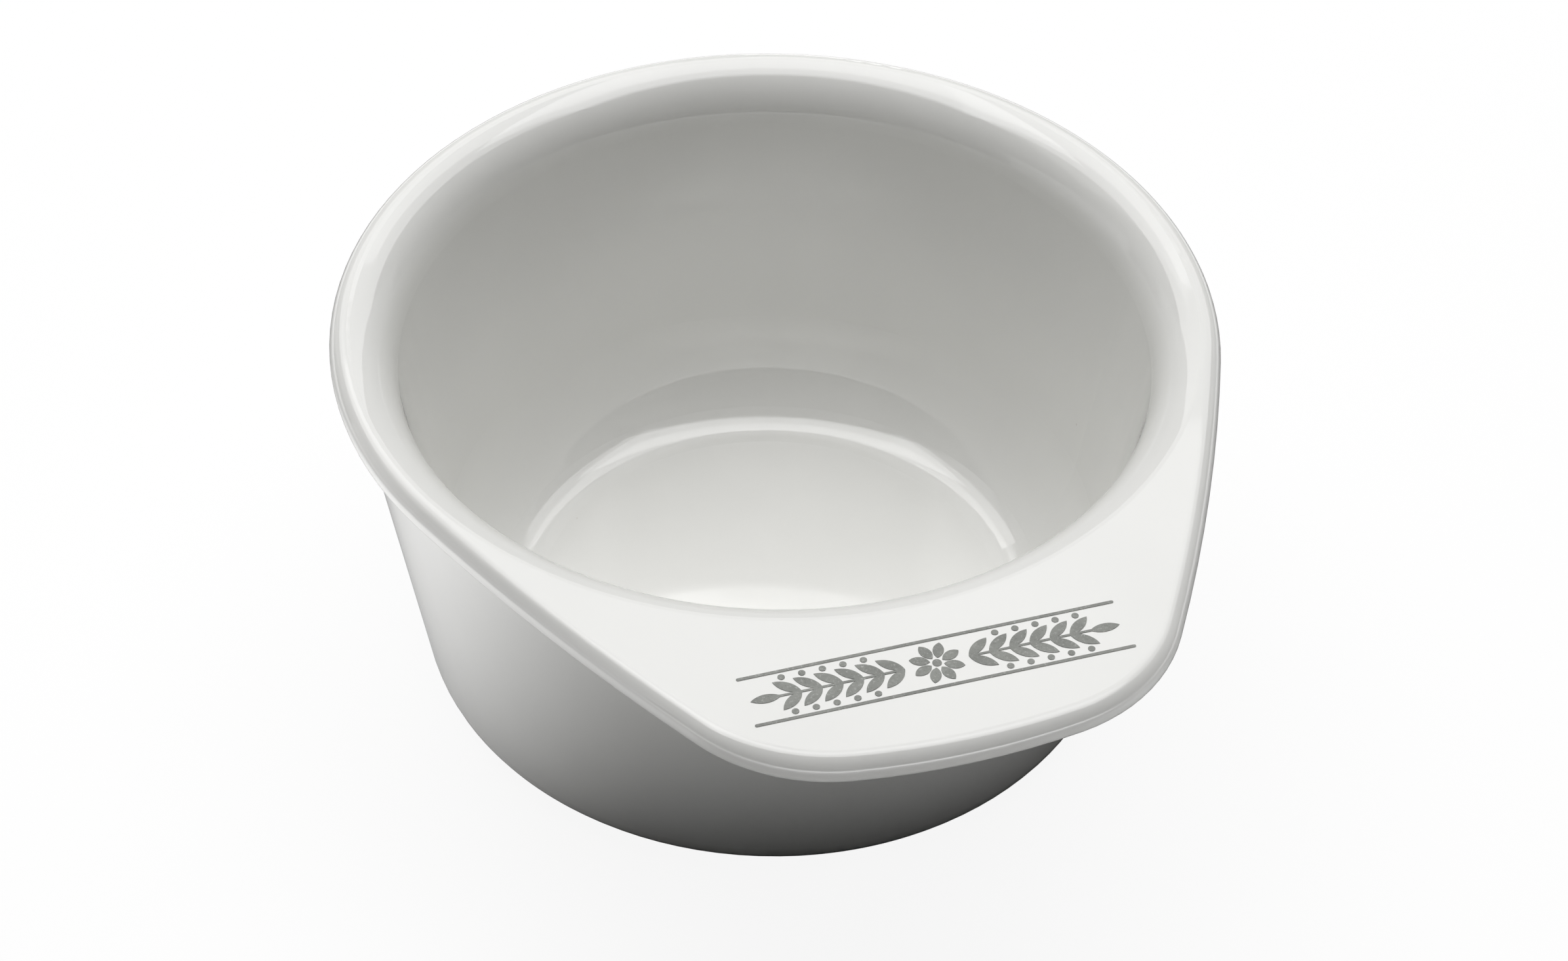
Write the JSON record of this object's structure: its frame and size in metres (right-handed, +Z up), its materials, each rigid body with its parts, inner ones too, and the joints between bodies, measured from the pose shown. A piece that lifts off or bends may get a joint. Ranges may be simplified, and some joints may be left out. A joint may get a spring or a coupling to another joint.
{
  "type": "shaving bowl with thumb plate",
  "caption": "Glazed porcelain bowl for working up shaving lather, with a full-round lip and a broad flat plate that the thumb holds.",
  "frame": {"origin": "the bowl's axis on the plane that the foot stands on", "axes": "+Z up along the bowl's axis, -Y towards the thumb plate's front edge, X across the plate"},
  "size_m": [0.11, 0.1302, 0.0531],
  "materials": {
    "bare_porcelain": "fired, unglazed, matt",
    "white_glaze": "glossy clear glaze over white porcelain",
    "ceramic_ink": "grey ceramic ink fired on the glaze, satin, slightly mottled"
  },
  "bodies": {
    "root": {"porcelain_body": "bare_porcelain", "glaze_coat": "white_glaze", "print_rules": "ceramic_ink", "print_sprig_left": "ceramic_ink", "print_sprig_right": "ceramic_ink", "print_rosette": "ceramic_ink"}
  },
  "joints": []
}
